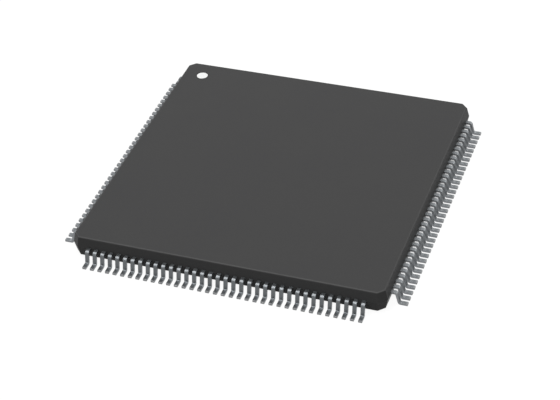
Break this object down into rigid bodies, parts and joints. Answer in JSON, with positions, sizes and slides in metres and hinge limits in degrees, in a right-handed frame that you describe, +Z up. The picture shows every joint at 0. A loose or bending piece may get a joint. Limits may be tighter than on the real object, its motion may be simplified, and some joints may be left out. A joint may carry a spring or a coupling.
{
  "type": "quad flat package integrated circuit",
  "caption": "Thin square moulded chip package with gull wing leads on every side and a white dot over pin one, for soldering flat onto a circuit board.",
  "frame": {"origin": "middle of the package on the seating plane, the plane that the feet stand on", "axes": "+Z is up, out of the top face. +X runs from the west side to the east side and +Y from the south side to the north side, so the white dot over pin one is at the -X +Y corner"},
  "size_m": [0.022, 0.022, 0.0015],
  "materials": {
    "moulding_compound": "fine matte, as moulded",
    "white_mark": "matte white",
    "copper_alloy": "rolled, bare",
    "attach_adhesive": "cured paste",
    "silicon": "polished",
    "tin_plated_leads": "matte tin plate over copper alloy",
    "bond_wire": "drawn"
  },
  "bodies": {
    "root": {"mould_body": "moulding_compound", "pin_one_mark": "white_mark", "die_paddle": "copper_alloy", "die_attach": "attach_adhesive", "silicon_die": "silicon", "leads_west_1": "tin_plated_leads", "leads_west_2": "tin_plated_leads", "leads_west_3": "tin_plated_leads", "leads_south_1": "tin_plated_leads", "leads_south_2": "tin_plated_leads", "leads_south_3": "tin_plated_leads", "leads_east_1": "tin_plated_leads", "leads_east_2": "tin_plated_leads", "leads_east_3": "tin_plated_leads", "leads_north_1": "tin_plated_leads", "leads_north_2": "tin_plated_leads", "leads_north_3": "tin_plated_leads", "wires_west_1": "bond_wire", "wires_west_2": "bond_wire", "wires_west_3": "bond_wire", "wires_south_1": "bond_wire", "wires_south_2": "bond_wire", "wires_south_3": "bond_wire", "wires_east_1": "bond_wire", "wires_east_2": "bond_wire", "wires_east_3": "bond_wire", "wires_north_1": "bond_wire", "wires_north_2": "bond_wire", "wires_north_3": "bond_wire"}
  },
  "joints": []
}
